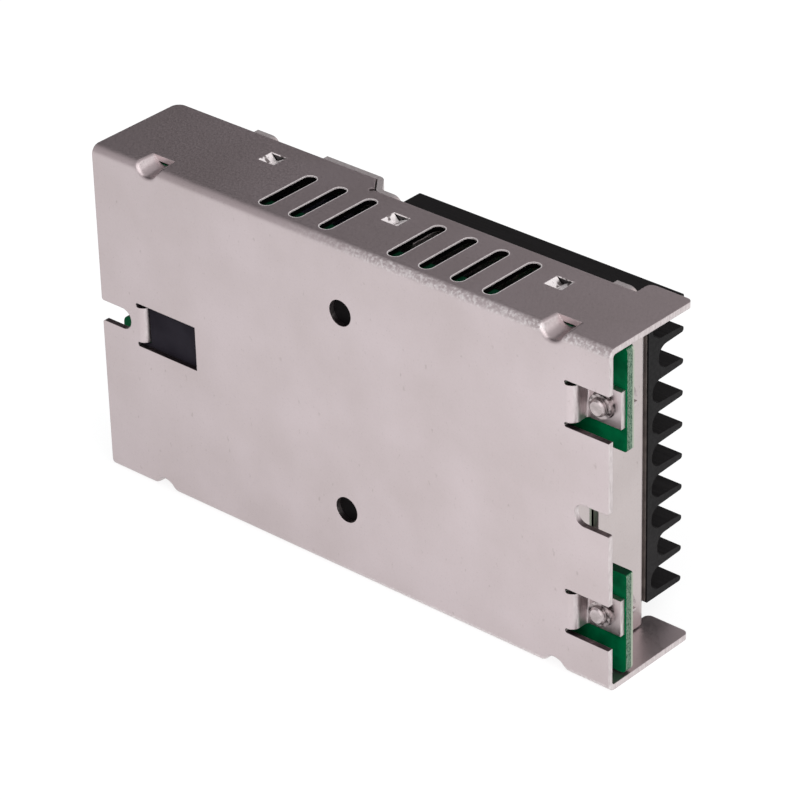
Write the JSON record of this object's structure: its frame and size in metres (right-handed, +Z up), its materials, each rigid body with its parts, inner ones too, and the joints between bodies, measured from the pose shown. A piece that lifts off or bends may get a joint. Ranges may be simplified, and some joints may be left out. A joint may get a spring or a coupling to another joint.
{
  "type": "chassis-mount dc-dc converter",
  "caption": "DC-DC converter in a folded open-ended sheet metal case with a finned heatsink, vents, screw tabs and terminals.",
  "frame": {"origin": "centre of the bounding box's underside, with the case standing on its lower side flange", "axes": "+X along the case towards the end with the two screw tabs, +Y from the mounting base to the heatsink's fins, +Z up across the width"},
  "size_m": [0.1064, 0.0264, 0.06],
  "materials": {
    "plated_sheet": "satin plated sheet",
    "plated_cover": "satin plated sheet",
    "black_anodised": "matte black anodised extrusion",
    "thermal_pad": "matte",
    "green_board": "solder mask on glass laminate",
    "dark_film": "smooth film",
    "zinc_screw": "zinc plated",
    "black_moulding": "matte moulded",
    "tinned_lead": "tinned",
    "ferrite": "matte sintered",
    "yellow_tape": "tape",
    "capacitor_sleeve": "printed sleeve without print",
    "choke_ring": "coated ring core",
    "ceramic_body": "matte",
    "green_moulding": "moulded",
    "plated_cage": "nickel plated brass"
  },
  "bodies": {
    "root": {"chassis": "plated_sheet", "cover_plate": "plated_cover", "heatsink": "black_anodised", "thermal_pad": "thermal_pad", "circuit_board": "green_board", "insulating_film": "dark_film", "board_screws": "zinc_screw", "clamp_screws": "zinc_screw", "power_devices": "black_moulding", "power_device_leads": "tinned_lead", "transformer_core": "ferrite", "transformer_coil": "yellow_tape", "electrolytic_capacitors": "capacitor_sleeve", "line_choke_core": "choke_ring", "line_choke_base": "black_moulding", "output_choke": "ferrite", "chip_capacitors": "ceramic_body", "chip_capacitor_ends": "tinned_lead", "control_chips": "black_moulding", "control_chip_leads": "tinned_lead", "input_terminal_block": "green_moulding", "output_terminal_block": "green_moulding", "terminal_cages": "plated_cage", "terminal_screws": "zinc_screw"}
  },
  "joints": []
}
